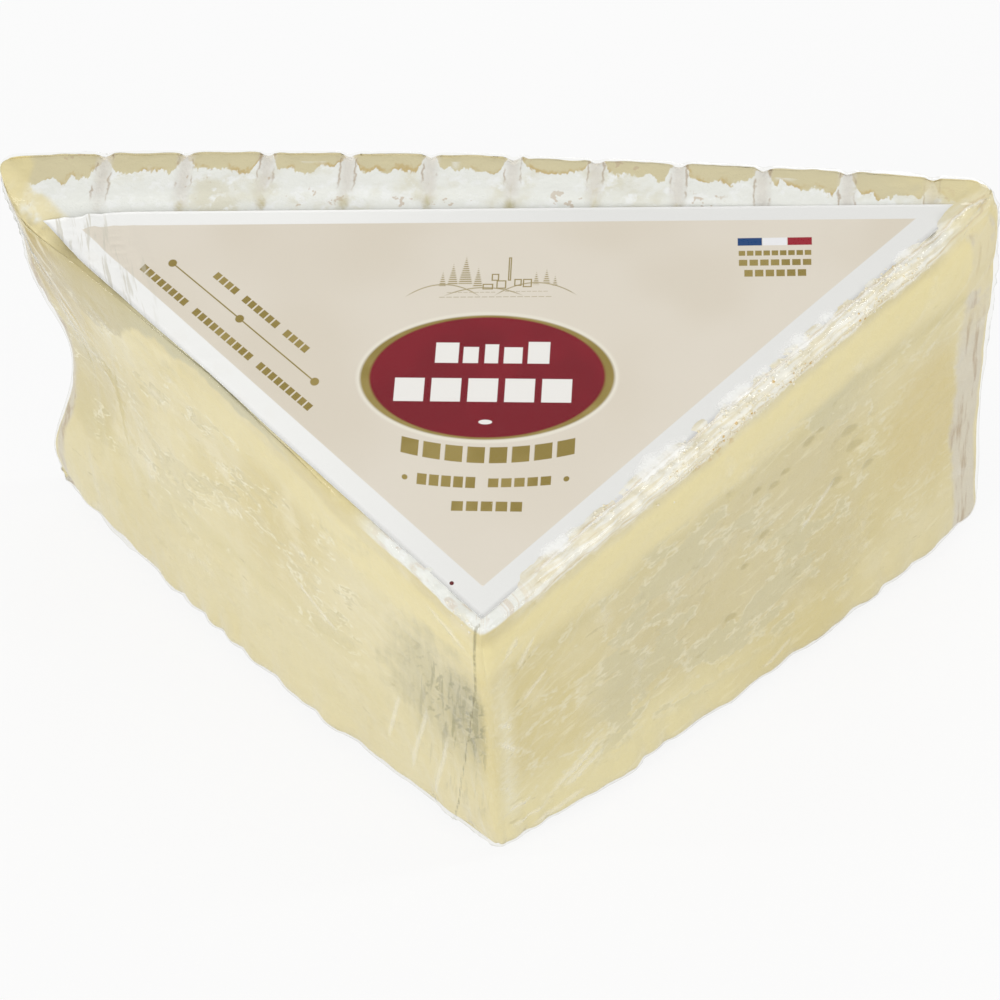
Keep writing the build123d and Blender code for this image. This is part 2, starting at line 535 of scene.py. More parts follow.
def show(name, data):
    """An object of that name in the scene."""
    thing = bpy.data.objects.new(name, data)
    bpy.context.scene.collection.objects.link(thing)
    return thing


def add_piece(name, points, faces, replaced, facts):
    """A mesh piece from points in millimetres, riding on the wedge's one body."""
    data = bpy.data.meshes.new(name)
    tidy = []
    for face in np.asarray(faces).tolist():
        ring = [v for i, v in enumerate(face) if v != face[i - 1]]
        if len(ring) > 2:
            tidy.append(ring)
    data.from_pydata((points * MM).tolist(), [], tidy)
    data.validate()
    for label, values in facts.items():
        values = np.asarray(values, np.float32)
        kind = "FLOAT" if values.ndim == 1 else "FLOAT_VECTOR"
        layer = data.attributes.new(label, kind, "POINT")
        key = "value" if values.ndim == 1 else "vector"
        layer.data.foreach_set(key, values.reshape(-1))
    data.shade_smooth()
    piece = show(name, data)
    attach(piece, "root")
    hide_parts(*replaced)
    return piece


cheese_skin = body + normals * cheese_height[:, None]
facts = {"crumbly": np.clip(crumbly, 0, 1)}
cheese = add_piece("cheese_wedge", cheese_skin, skin_faces, ["cheese"], facts)
film_skin = body + normals * film_height[:, None]
facts = {"crease": np.clip(crease_sheen, 0, 1), "seam": seam}
film = add_piece("film_wrap", film_skin, skin_faces, ["film"], facts)


# ---------------------------------------------------------------- the paper label

LABEL_WING = np.array([-60.2, 22.4])
LABEL_RIGHT = np.array([61.2, 27.5])
LABEL_TIP = np.array([4.6, -33.1])


def label_grid(steps):
    """Flat places and triangles of the label's three-cornered sheet."""
    rows, flat, start = [], [], 0
    for i in range(steps + 1):
        share = i / steps
        left = LABEL_TIP + share * (LABEL_WING - LABEL_TIP)
        right = LABEL_TIP + share * (LABEL_RIGHT - LABEL_TIP)
        for j in range(i + 1):
            flat.append(left + (right - left) * (j / i if i else 0))
        rows.append(start)
        start += i + 1
    triangles = []
    for i in range(steps):
        for j in range(i + 1):
            a, b = rows[i] + j, rows[i + 1] + j
            triangles.append((a, b + 1, b))
            if j < i:
                triangles.append((a, a + 1, b + 1))
    rim = [rows[i] for i in range(steps + 1)]
    rim += [rows[steps] + j for j in range(1, steps + 1)]
    rim += [rows[i] + i for i in range(steps - 1, 0, -1)]
    return np.array(flat), triangles, rim


def drape(flat):
    """Lays flat places on the wrapped form; the film has pulled in the paper's wing."""
    pull = smooth(14, 0, np.hypot(*(flat - LABEL_WING).T))
    lie = np.zeros((len(flat), 3))
    lie[:, :2] = flat + pull[:, None] * [1.8, -1.1]
    lie[:, 2] = MIDDLE + SLOPE * lie[:, 1] + 0.3
    tree = BVHTree.FromPolygons(body.tolist(), [tuple(f) for f in skin_faces.tolist()])
    return pull_onto(lie, tree)


flat, label_faces, label_rim = label_grid(130)
lie, lie_out = drape(flat)
lie_out = lie_out / np.linalg.norm(lie_out, axis=1)[:, None]
paper_rise = fold_height(lie) - 0.14
label_top = lie + lie_out * paper_rise[:, None]
label_low = lie + lie_out * (paper_rise - 0.22)[:, None]
count = len(flat)
label_mesh = [list(f)[::-1] for f in label_faces]
label_mesh += [[v + count for v in f] for f in label_faces]
for a, b in zip(label_rim, label_rim[1:] + label_rim[:1]):
    label_mesh.append([a, b, b + count, a + count])
label_mesh = [f if len(f) == 4 else f + [f[-1]] for f in label_mesh]
facts = {"print_place": np.concatenate([np.c_[flat, flat[:, 0] * 0]] * 2)}
label_points = np.concatenate([label_top, label_low])
label = add_piece("paper_label", label_points, label_mesh, ["label"], facts)


# ---------------------------------------------------------------- arithmetic on shader sockets


class Value:
    """A shader socket that takes part in ordinary arithmetic."""

    def __init__(self, shade, socket):
        self.shade = shade
        self.socket = socket

    def held(self):
        return self.shade.node("ShaderNodeClamp", {}, self, 0.0, 1.0)

    def ramp(self, low, high):
        """0 at low and 1 at high, with soft ends; low may be the larger."""
        settings = {"interpolation_type": "SMOOTHSTEP"}
        return self.shade.node("ShaderNodeMapRange", settings, self, low, high, 0.0, 1.0)

    def lay(self, red, green, blue, share):
        """This colour, part of the way to a tint."""
        return self.shade.mix(self, tint(red, green, blue), share)


def arithmetic(operation, swapped=False):
    """A method that adds one maths node."""

    def method(self, *others):
        inputs = (*others, self) if swapped else (self, *others)
        return self.shade.node("ShaderNodeMath", {"operation": operation}, *inputs)

    return method


for name, operation in (
    ("add", "ADD"),
    ("sub", "SUBTRACT"),
    ("mul", "MULTIPLY"),
    ("truediv", "DIVIDE"),
    ("pow", "POWER"),
):
    setattr(Value, f"__{name}__", arithmetic(operation))
    setattr(Value, f"__r{name}__", arithmetic(operation, swapped=True))
Value.__abs__ = arithmetic("ABSOLUTE")
Value.root = arithmetic("SQRT")
Value.part = arithmetic("FRACT")
Value.lesser = arithmetic("MINIMUM")
Value.greater = arithmetic("MAXIMUM")


def greatest(parts):
    """The greatest of several socket values."""
    return functools.reduce(lambda a, b: a.greater(b), parts)


class Shade:
    """A node tree and the few ways of adding to it."""

    def __init__(self, owner):
        self.owner = self.tree = owner
        if not isinstance(owner, bpy.types.NodeTree):
            owner.use_nodes = True
            self.tree = owner.node_tree
            self.tree.nodes.clear()

    def node(self, kind, settings, *values, out=0, **named):
        """Adds a node: its settings first, then its sockets in order or by name."""
        made = self.tree.nodes.new(kind)
        for key, value in settings.items():
            setattr(made, key, value)
        for place, value in enumerate(values):
            self.join(made.inputs[place], value)
        for name, value in named.items():
            self.join(made.inputs[name.replace("_", " ")], value)
        return Value(self, made.outputs[out])

    def join(self, socket, value):
        if isinstance(value, Value):
            self.tree.links.new(value.socket, socket)
        else:
            socket.default_value = value

    def mix(self, a, b, share):
        """A colour part of the way from a to b."""
        made = self.tree.nodes.new("ShaderNodeMix")
        made.data_type = "RGBA"
        self.join(made.inputs[0], share)
        self.join(made.inputs[6], a)
        self.join(made.inputs[7], b)
        return Value(self, made.outputs[2])

    def apart(self, vector):
        made = self.tree.nodes.new("ShaderNodeSeparateXYZ")
        self.join(made.inputs[0], vector)
        return [Value(self, made.outputs[i]) for i in range(3)]

    def place_mm(self):
        """The piece's own coordinates in millimetres."""
        here = self.node("ShaderNodeTexCoord", {}, out="Object")
        return self.node("ShaderNodeVectorMath", {"operation": "SCALE"}, here, Scale=1 / MM)

    def fact(self, name, out="Fac"):
        return self.node("ShaderNodeAttribute", {"attribute_name": name}, out=out)

    def grain(self, where, size, detail=3.0, rough=0.5, twist=0.0):
        """Noise around 0.5 with lumps of about that size; where may be three measures."""
        if isinstance(where, tuple):
            where = self.node("ShaderNodeCombineXYZ", {}, *where)
        named = {"Scale": 1 / size, "Detail": detail, "Roughness": rough, "Distortion": twist}
        return self.node("ShaderNodeTexNoise", {}, Vector=where, **named)

    def bump(self, height, distance, strength):
        named = {"Strength": strength, "Distance": distance, "Height": height}
        return self.node("ShaderNodeBump", {}, **named)

    def blend(self, share, a, b):
        """A shader part of the way from a to b."""
        return self.node("ShaderNodeMixShader", {}, share, a, b)

    def surface(self, **named):
        return self.node("ShaderNodeBsdfPrincipled", {}, **named)

    def seen_straight(self):
        """1 for what the camera sees, or sees by a reflection or through clear film."""
        path = self.tree.nodes.new("ShaderNodeLightPath")
        rays = ("Is Camera Ray", "Is Glossy Ray", "Is Transmission Ray")
        return greatest([Value(self, path.outputs[ray]) for ray in rays])

    def finish(self, result, end="ShaderNodeOutputMaterial"):
        self.join(self.tree.nodes.new(end).inputs[0], result)
        return self.owner


def tint(red, green, blue):
    """A screen colour, 0 to 255, as the linear colour that a socket takes."""
    levels = [c / 255 for c in (red, green, blue)]
    return (*[c / 12.92 if c <= 0.04045 else ((c + 0.055) / 1.055) ** 2.4 for c in levels], 1.0)


def spot(a, b, at, size):
    """1 at a place, falling to 0 at the rim of an ellipse round it."""
    da = (a - at[0]) / size[0]
    db = (b - at[1]) / size[1]
    return (1 - da * da - db * db).held()


def bar(a, b, at, half, soft=0.08):
    """A plain upright bar."""
    da = (half[0] - abs(a - at[0])) / soft
    db = (half[1] - abs(b - at[1])) / soft
    return da.lesser(db).held()


def blocks(a, b, at, count, pitch, half_height):
    """A row of plain blocks, centred on a place."""
    from_start = a - (at[0] - count * pitch / 2 - pitch * 0.1)
    within = bar(a, b, at, (count * pitch / 2, half_height))
    return within * (from_start / pitch).part().ramp(0.18, 0.24)


def oval(a, b, at, size, edge):
    """A plain oval with a crisp edge."""
    return ((1 - (((a - at[0]) / size[0]) ** 2 + ((b - at[1]) / size[1]) ** 2).root()) * edge).held()


def turned(a, b, at, degrees):
    """Coordinates along and across a line through a place."""
    c, s = math.cos(math.radians(degrees)), math.sin(math.radians(degrees))
    da, db = a - at[0], b - at[1]
    return da * c + db * s, db * c - da * s


# ---------------------------------------------------------------- cheese: paste and rind


def measures(m):
    """places() for a shader: x, y, z, run from the tip, side, depth, and room to each rim."""
    x, y, z = m.apart(m.place_mm())
    dx, dy = x - float(tip[0]), y - float(tip[1])
    run = (dx * dx + dy * dy).root()
    inset, left_inset = [
        float(corner @ out) - x * float(out[0]) - y * float(out[1])
        for corner, out in ((rear_right, right_out), (rear_left, left_out))
    ]
    return x, y, z, run, dx.ramp(-0.8, 0.8), MIDDLE + SLOPE * y - z, inset, left_inset


def cheese_material():
    m = Shade(bpy.data.materials.new("soft white-rind cheese"))
    here = m.place_mm()
    x, y, z, run, right, below, inset, left_inset = measures(m)
    below = below - 0.7
    to_rim = (below.greater(0) ** 2 + inset.greater(0) ** 2).root()
    to_left_rim = (below.greater(0) ** 2 + left_inset.greater(0) ** 2).root()
    bow = x / float(film_high[0])
    rear = float(film_high[1]) - 0.45 - BACK_BOW * bow * bow - y

    broad = m.grain(here, 26, 3)
    middling = m.grain(here, 8, 4, 0.55)
    fine = m.grain(here, 2.2, 4, 0.62)
    grit = m.grain(here, 0.7, 2, 0.6)

    # paste
    paste = m.mix(tint(222, 211, 168), tint(213, 199, 146), broad.ramp(0.4, 0.64))
    paste = paste.lay(229, 219, 182, middling.ramp(0.52, 0.68) * 0.6)
    # painted shade darkens the whole right cut face, which is also a little yellower
    paste = paste.lay(204, 191, 140, right * 0.35)
    # painted shade over the recessed middle of the right face, where the paste is also greyer under
    # the film
    middle = below.ramp(11, 17) * z.ramp(6, 14) * run.ramp(14, 26) * run.ramp(72, 56) * right
    paste = paste.lay(200, 188, 146, middle * 0.6)
    # painted light on the bulging foot near the tip, where the paste is also paler and creamier
    spread = z.ramp(16, 8) * run.ramp(52, 30) * right
    paste = paste.lay(227, 217, 171, spread * 0.6)
    shoulder = (below + (middling - 0.5) * 3).ramp(2.6, 4.2)
    shoulder = shoulder * (below + (broad - 0.5) * 6).ramp(12.5, 8.0)
    nearer = (1 - right) * run.ramp(55, 25) * 0.45
    paste = paste.lay(229, 216, 162, shoulder * (0.3 + right * 0.5 + nearer))
    # painted shadow along the concave band under the shoulder of the right face
    shade = (1 - abs(below + (broad - 0.5) * 6 - 12.6) / 2.2).held() * right
    paste = paste.lay(202, 190, 140, shade * run.ramp(6, 16) * 0.55)

    # under the label's wing the film presses the paste smooth, and painted shadow from the
    # overhanging wing darkens it to an olive band, browner to the rear
    depth = 1.6 + 11 * run.ramp(60, 78) + (middling - 0.5) * 7
    wing_shadow_band = (below - depth).ramp(0.5, -0.5) * run.ramp(30, 44) * (1 - right)
    olive = m.mix(tint(193, 187, 154), tint(188, 175, 128), run.ramp(58, 74))
    paste = m.mix(paste, olive, wing_shadow_band * 0.85)
    # browner paste with paler streaks towards the left rear edge
    streak = m.grain((run * 0.9 + below * 0.5, below * 0.12, 4.0), 1.5, 3, 0.6)
    brown_rear_streaks = (run + (streak - 0.5) * 12).ramp(76, 86) * below.ramp(24, 15) * (1 - right)
    brown_rear_streaks = brown_rear_streaks * below.ramp(1.0, 3.0)
    paste = paste.lay(182, 162, 100, brown_rear_streaks * 0.85)
    paste = paste.lay(232, 226, 202, brown_rear_streaks * streak.ramp(0.54, 0.62) * 0.6)
    # painted shade in the hollow where the film has drawn in the left rear edge
    hollow_shade = spot(run, z, (86, 27), (8, 13)).ramp(0.0, 0.6) * (1 - right)
    paste = paste.lay(203, 190, 142, hollow_shade * 0.75)
    drag = m.grain((run * 0.2 + below * 0.15, below * 0.9, right * 9), 1.3, 3, 0.6)
    paste = paste.lay(234, 226, 194, drag.ramp(0.56, 0.72) * below.ramp(10, 14) * 0.35)

    # where the film lies hard on the paste it looks wet and greyer, with a ragged edge
    lie = 0.187 * right - 0.16 * (1 - right)
    ragged = m.grain((run * 0.55 + z * lie, z * 1.15 - run * lie, right * 60), 9, 5, 0.68)
    touch = ragged.ramp(0.515, 0.535)
    zone = below.ramp(9.5, 12.5) * z.ramp(5.0, 9.0)
    touch_right = touch * zone * right * run.ramp(13, 20) * run.ramp(70, 58)
    touch_left = ragged.ramp(0.56, 0.58) * zone * (1 - right) * run.ramp(22, 30)
    upright = m.grain((run, z * 0.22, 7.0), 1.6, 4, 0.65) - 0.5
    scored = m.grain((run + z * 0.12, z * 0.1, 3.0), 1.0, 3, 0.6).ramp(0.53, 0.6)
    crossed = m.grain((run + z * 0.9, z * 0.3 - run * 0.3, 5.0), 1.2, 3, 0.6).ramp(0.54, 0.62)
    creased = spot(run, z, (9.5, 23), (14, 15)) + upright * 0.6 + (ragged - 0.5) * 2.2
    creased = creased.ramp(0.05, 0.8) * z.ramp(7, 16) * run.ramp(0.5, 2.5)
    touch_left = (touch_left * 0.22).greater(creased * (0.78 + upright * 1.6).held())
    paste = paste.lay(202, 194, 157, touch_right * 0.65)
    paste = paste.lay(188, 180, 142, touch_left * (1 - right) * 0.75)
    gloom = spot(run, z, (4.0, 25), (5.5, 8)).ramp(0.0, 0.8) * (1 - right) * run.ramp(0.3, 1.5)
    paste = paste.lay(150, 144, 108, gloom * (0.35 + crossed * 0.4))
    scored = scored.greater(crossed * z.ramp(14, 22))
    scored = scored * run.ramp(19, 9) * run.ramp(0.6, 2.0) * z.ramp(4, 9) * z.ramp(33, 28)
    paste = paste.lay(150, 144, 106, scored * (1 - right) * 0.6)
    pale_fold = (1 - abs(run - 2.4) / 2.2).held() * right * z.ramp(5, 9) * below.ramp(9, 13)
    paste = paste.lay(226, 218, 182, pale_fold * (0.35 + middling * 0.5))
    edge = ragged.ramp(0.490, 0.512) * ragged.ramp(0.545, 0.525) * zone * right
    paste = paste.lay(224, 217, 188, edge * fine.ramp(0.42, 0.58) * 0.65)
    wisps = m.grain((run * 0.3 + z * lie, z * 1.3 - run * lie, right * 20), 1.5, 3, 0.7)
    wisps = wisps.ramp(0.57, 0.66) * zone * broad.ramp(0.42, 0.56)
    paste = paste.lay(228, 220, 190, wisps * 0.28)

    foot_band = (z + (broad - 0.5) * 12).ramp(18, 14) * (1 - right)
    paste = paste.lay(219, 208, 164, foot_band * 0.6)
    line = (1 - abs(z + (broad - 0.5) * 12 - 18.5) / 2.4).held() * (1 - right)
    paste = paste.lay(209, 198, 148, line * run.ramp(20, 32) * 0.45)
    edge = ragged.ramp(0.535, 0.548) * ragged.ramp(0.572, 0.557) * (1 - right)
    where = z.ramp(14, 20) * below.ramp(7, 10) * run.ramp(20, 28) * (1 - right)
    paste = paste.lay(234, 227, 197, edge * where * fine.ramp(0.44, 0.54) * 0.8)
    under = ragged.ramp(0.556, 0.566) * ragged.ramp(0.596, 0.578)
    paste = paste.lay(196, 186, 142, under * where * middling.ramp(0.42, 0.56) * 0.5)

    # deeper, smoother butter yellow towards the rear of the right face
    deep = (spot(run, z, (77, 27), (11, 17)) + (middling - 0.5) * 0.8).ramp(0.1, 0.9) * right
    paste = paste.lay(207, 190, 132, deep * 0.75)

    # eyes darkened by painted shade in their pits, torn dashes and curd grain
    dash = m.grain((run * 0.45, z * 1.5, right * 40), 1.5, 3, 0.6)
    torn = dash.ramp(0.62, 0.7) * below.ramp(8, 12)
    paste = paste.lay(188, 176, 130, torn * middling.ramp(0.45, 0.6) * 0.5)
    # painted shade in the eye pits
    eye_shade = greatest([spot(run, z, (s, h), (r * 1.3, r * 0.7)) for s, h, r in eyes])
    eye_shade = (eye_shade + (fine - 0.5) * 1.6).ramp(0.25, 0.8) * right
    paste = paste.lay(186, 174, 127, eye_shade * 0.65)

    # rind: felted white mould, worn to tan, with brown lines by the mat's grooves
    white = m.mix(tint(233, 234, 228), tint(220, 217, 199), middling.ramp(0.48, 0.66))
    white = white.lay(238, 239, 236, fine.ramp(0.5, 0.66))
    beat = (x - GROOVE_SHIFT) / GROOVE_PITCH
    off = abs((beat + 0.5).part() - 0.5) * GROOVE_PITCH
    inner = abs(x - GROOVE_SHIFT).ramp(57.5, 56.5)
    wobble = (m.grain(here, 1.3, 3) - 0.5) * 1.1
    line = (1 - abs(off + wobble - 1.0) / 0.2).held() * inner
    shown = m.grain(here, 4.2, 3, 0.6)
    tatter = m.grain((x, y * 0.5, z * 0.4), 2.6, 4, 0.66) - 0.5
    wear = rear + tatter * 5.5 + (0.9 - off / 2).greater(0) * inner * 4
    worn = wear.ramp(2.3, 2.0) * below.ramp(6, 2)
    patchy = m.grain((x, y, z * 0.3), 8.0, 2, 0.5)
    worn = worn * patchy.ramp(0.34, 0.40).greater(rear.ramp(1.1, 0.8))
    deepest = wear.ramp(1.2, 2.0) * shown.ramp(0.46, 0.6)
    white = m.mix(white, m.mix(tint(209, 199, 162), tint(196, 174, 122), deepest), worn)
    band = (1.35 - off + wobble * 0.4).held() * inner * (rear + (shown - 0.5) * 12).ramp(8, 4)
    white = white.lay(219, 214, 205, band * 0.75)
    upper = (rear + (middling - 0.5) * 11).ramp(5.5, 3.0)
    white = white.lay(168, 146, 118, line * shown.ramp(0.44, 0.54) * upper * 0.75)
    stain = m.grain(here, 2.6, 3, 0.75).ramp(0.63, 0.67) * patchy.ramp(0.46, 0.56)
    white = white.lay(190, 168, 140, stain * 0.6)
    corner = (x * (2 * right - 1) + (middling - 0.5) * 6).ramp(60.3, 61.8)
    white = white.lay(222, 209, 158, corner * 0.9)
    back_tone = y.ramp(29.5, 32.0)
    blotch = m.grain((x, y, z * 0.7), 3.4, 4, 0.72)
    worn_back = patchy.ramp(0.46, 0.62)
    back_white = m.mix(tint(234, 233, 225), tint(223, 219, 204), blotch.ramp(0.42, 0.6))
    back_white = back_white.lay(208, 194, 160, blotch.ramp(0.53, 0.64) * worn_back * 0.7)
    back_white = back_white.lay(238, 239, 235, fine.ramp(0.52, 0.68) * 0.7)
    back_tone = back_tone * below.ramp(2.0, 5.0)
    white = m.mix(white, back_white, back_tone)
    white = white.lay(219, 214, 205, band * back_tone * 0.5)
    white = white.lay(176, 156, 128, line * back_tone * shown.ramp(0.48, 0.58) * 0.6)

    thread = m.grain((run * 0.3, to_left_rim * 0.9, right * 30), 1.0, 3, 0.6)
    near_tip = run.ramp(26, 14) * below.ramp(3.0, 1.5)
    white = white.lay(216, 204, 186, thread.ramp(0.5, 0.62) * near_tip * 0.7)

    # how much of the skin is rind: the top, the rear, and a thin line at the foot
    wander = (fine - 0.5) * 1.6 + (middling - 0.5) * 2.0
    top_rind = (below + wander * 0.5).ramp(1.3, 0.7)
    drawn_over = left_inset.ramp(1.6, 0.4) * run.ramp(16, 24) * run.ramp(86, 80) * (1 - right)
    top_rind = top_rind * (1 - drawn_over)
    rear_rind = (rear - right * 2.4 + wander).ramp(2.6, 1.6)
    foot_rind = (z + wander * 0.5).ramp(1.7, 0.9)
    rind = top_rind.greater(rear_rind).greater(foot_rind)
    upright = m.grain((x, y, z * 0.12), 1.3, 3, 0.6)
    rear_tone = m.mix(tint(210, 202, 182), tint(186, 170, 145), upright.ramp(0.5, 0.66))
    white = m.mix(white, rear_tone, rear.ramp(6, 4) * below.ramp(1.5, 4.5) * rear.ramp(0.2, 1.0))
    colour = m.mix(paste, white, rind)
    cream = to_rim.ramp(4.5, 2.5) * run.ramp(74, 84) * right
    cream = cream.greater(z.ramp(34, 48) * run.ramp(79, 84) * right * 0.8)
    cream = cream.greater(to_left_rim.ramp(2.6, 1.4) * run.ramp(78, 83) * (1 - right))
    colour = colour.lay(226, 213, 164, cream * shown.ramp(0.3, 0.5) * 0.8)

    # mould ridge and golden crumbs below the right rim
    fluffy = (to_rim + (fine - 0.5) * 3.0).ramp(2.9, 1.7) * right * run.ramp(4, 10)
    fluffy = fluffy * (1 - 0.7 * run.ramp(74, 82))
    strand = m.grain((run * 0.14, below * 1.1 - inset * 1.1, 0.0), 0.9, 4, 0.6)
    rope = m.mix(tint(239, 236, 224), tint(227, 218, 190), strand.ramp(0.42, 0.6))
    rope = rope.lay(208, 190, 146, strand.ramp(0.63, 0.69) * 0.55)
    colour = m.mix(colour, rope, fluffy * 0.9)
    gold = (1 - abs(below - 2.4) / 1.3).held() * right
    gold = gold * m.grain(here, 1.7, 4, 0.6).ramp(0.52, 0.6)
    gold = gold * (spot(run, below, (38, 2.4), (4.5, 4)) + 0.12 * middling.ramp(0.55, 0.62)).held()
    colour = colour.lay(198, 160, 84, gold * 0.8)
    seam_line = (1 - abs(to_rim - 1.1 + wander * 0.5) / 0.25).held()
    colour = colour.lay(206, 186, 146, seam_line * run.ramp(6, 12) * right * 0.6)

    height = fine * 0.5 + grit * 0.28 + middling * 0.6
    relief = m.bump(height, 0.0006, 0.5)
    rough = 0.42 + 0.4 * rind
    return m.finish(m.surface(Base_Color=colour, Roughness=rough, Normal=relief, IOR=1.42))


def crumb_material():
    m = Shade(bpy.data.materials.new("crumbled rind"))
    here = m.place_mm()
    tone = m.fact("tone")
    fine = m.grain(here, 0.6, 3, 0.6)
    colour = m.mix(tint(238, 233, 216), tint(228, 218, 186), tone.ramp(0.35, 0.8))
    colour = colour.lay(206, 172, 104, tone.ramp(0.93, 0.99))
    colour = colour.lay(244, 242, 234, fine.ramp(0.5, 0.7) * 0.5)
    relief = m.bump(fine, 0.0002, 0.6)
    return m.finish(m.surface(Base_Color=colour, Roughness=0.8, Normal=relief))


# ---------------------------------------------------------------- label print


def label_material():
    m = Shade(bpy.data.materials.new("printed label paper"))
    here = m.place_mm()
    u, v, _ = m.apart(m.fact("print_place", "Vector"))
    # the print is square to the label's straight top edge
    lean = math.degrees(math.atan2(*(LABEL_RIGHT - LABEL_WING)[::-1]))

    # painted shade: the white paper greys towards the right of the label
    paper = m.mix(tint(243, 243, 241), tint(230, 230, 228), u.ramp(-30, 20))
    beige = m.mix(tint(224, 216, 202), tint(219, 210, 194), m.grain(here, 30, 2).ramp(0.4, 0.6))
    gold = m.mix(tint(154, 136, 76), tint(142, 124, 62), m.grain(here, 6, 2).ramp(0.4, 0.6))
    maroon = m.mix(tint(124, 12, 30), tint(116, 8, 26), m.grain(here, 9, 2).ramp(0.4, 0.6))

    # beige field: inside all three borders
    def inside(a, b, border):
        run = unit(b - a)
        inner = np.array([-run[1], run[0]])
        if inner @ ((LABEL_TIP + LABEL_WING + LABEL_RIGHT) / 3 - a) < 0:
            inner = -inner
        return (u * inner[0] + v * inner[1] - float(inner @ a) - border) / 0.12

    field = inside(LABEL_WING, LABEL_RIGHT, 2.1)
    field = field.lesser(inside(LABEL_TIP, LABEL_RIGHT, 3.0))
    field = field.lesser(inside(LABEL_TIP, LABEL_WING, 3.0)).held()
    colour = m.mix(paper, beige, field)

    # oval with a gold rim that is thicker at its sides
    a, b = turned(u, v, (2.3, -0.2), lean * 0.6)
    for ink, size in (
        (tint(232, 226, 212), (16.6, 9.5)),
        (gold, (16.1, 9.0)),
        (maroon, (14.9, 8.7)),
    ):
        colour = m.mix(colour, ink, oval(a, b, (0, 0), size, 40))

    # plain pale bars in the oval, and a small leaf under them
    pale_bars = [
        (-5.2, 3.4, 1.5, 1.5), (-2.2, 3.1, 1.0, 1.2), (0.4, 3.3, 0.9, 1.4), (3.1, 3.1, 1.2, 1.2),
        (6.3, 3.5, 1.4, 1.6), (-9.6, -1.9, 1.9, 1.7), (-5.0, -1.9, 1.9, 1.7),
        (-0.4, -1.9, 1.9, 1.7), (4.2, -1.9, 1.9, 1.7), (8.8, -1.9, 1.9, 1.7),
    ]
    marks = [bar(a, b, (cx, cy), (hw, hh)) for cx, cy, hw, hh in pale_bars]
    marks.append(spot(a, b, (0.2, -6.4), (0.9, 0.35)).ramp(0, 0.2))
    colour = colour.lay(238, 236, 232, greatest(marks))

    # three-colour bar with plain gold lines under it
    a, b = turned(u, v, (37.1, 21.0), lean + 0.5)
    for at, half, ink in (
        (-3.15, 1.57, (8, 60, 114)),
        (0, 1.58, (236, 236, 238)),
        (3.15, 1.57, (150, 20, 38)),
    ):
        colour = colour.lay(*ink, bar(a, b, (at, 0), (half, 0.62)))
    rows = ((-1.75, 9, 1.04, 0.42), (-3.2, 7, 1.34, 0.5), (-4.8, 6, 1.34, 0.55))
    small = greatest([blocks(a, b, (0, at), *row) for at, *row in rows])
    colour = m.mix(colour, gold, small)

    # gold line with three dots, and a row of small blocks on each side of it
    a, b = turned(u, v, (-29.4, 6.7), -39.4)
    line = bar(a, b, (0, 0), (13.4, 0.13))
    for at in (-13.3, -0.6, 13.2):
        line = line.greater(oval(a, b, (at, 0), (0.62, 0.62), 6))
    for across, up, many in (
        (-5.8, 2.5, 4), (0.7, 2.5, 6), (7.2, 2.5, 4), (-11.6, -3.0, 8), (-0.6, -3.0, 10),
        (10.8, -3.0, 9),
    ):
        line = line.greater(blocks(a, b, (across, up), many, 1.08, 0.55))
    colour = m.mix(colour, gold, line)

    # gold lines under the oval: a curved one, then two straight ones
    a, b = turned(u, v, (3.0, 0.0), lean * 0.6)
    curve = b + 11.2 - a * a * 0.0125
    arch = blocks(a, curve, (0, 0), 8, 2.75, 1.15)
    curve = b + 15.0 - a * a * 0.007
    second = blocks(a, curve, (-4.8, 0), 5, 1.5, 0.8)
    second = second.greater(blocks(a, curve, (4.2, 0), 5, 1.6, 0.65))
    third = blocks(a, b, (0.4, -18.2), 5, 1.8, 0.7)
    for at in (-9.9, 9.9):
        second = second.greater(oval(a, curve, (at, 0), (0.4, 0.4), 5))
    colour = m.mix(colour, gold, arch.greater(second).greater(third))

    # small gold drawing of hills and trees
    a, b = turned(u, v, (1.8, 11.6), lean)
    ink = None
    for at, reach, tall in ((-6.2, 4.6, 1.7), (-1.0, 5.0, 1.2), (5.6, 5.2, 1.9)):
        arc = b - tall + ((a - at) / reach) ** 2 * tall
        stroke = (1 - abs(arc) / 0.13).held() * (reach * 1.05 - abs(a - at)).held()
        ink = stroke if ink is None else ink.greater(stroke * (b + 0.4).held())
    trees = (
        (-6.3, 1.4, 2.6), (-5.0, 1.6, 3.6), (-3.4, 1.7, 4.6), (-1.8, 1.2, 3.4), (5.6, 1.5, 2.4),
        (6.9, 1.7, 2.6), (8.0, 1.3, 2.0),
    )
    for at, base, tall in trees:
        slant = (tall - (b - base)) * 0.22 - abs(a - at)
        tree = (slant * 5).held() * ((b - base) * 6).held() * (b * 3.1).part().ramp(0.3, 0.5)
        ink = ink.greater(tree * 0.85)
    houses = (
        (1.2, 1.0, 1.3, 1.3), (3.3, 1.4, 1.0, 1.1), (2.2, 2.2, 0.45, 3.6), (-0.5, 0.9, 1.4, 0.9),
        (0.4, 2.2, 1.0, 1.1), (4.5, 1.2, 1.2, 1.3),
    )
    for at, base, wide, tall in houses:
        middle, stroke = (at, base + tall / 2), 0.16
        wall = bar(a, b, middle, (wide / 2, tall / 2), 0.05)
        wall = wall - bar(a, b, middle, (wide / 2 - stroke, tall / 2 - stroke), 0.05)
        ink = ink.greater(wall.held())
    for at, count, pitch, half in (
        ((0.5, -0.2), 16, 0.9, 0.08),
        ((-2.6, 0.5), 9, 0.7, 0.07),
        ((4.4, 0.6), 8, 0.7, 0.07),
    ):
        ink = ink.greater(blocks(a, b, at, count, pitch, half) * 0.8)
    colour = m.mix(colour, gold, ink * 0.9)
    colour = colour.lay(96, 30, 34, oval(u, v, (0.6, -28.6), (0.3, 0.3), 5))

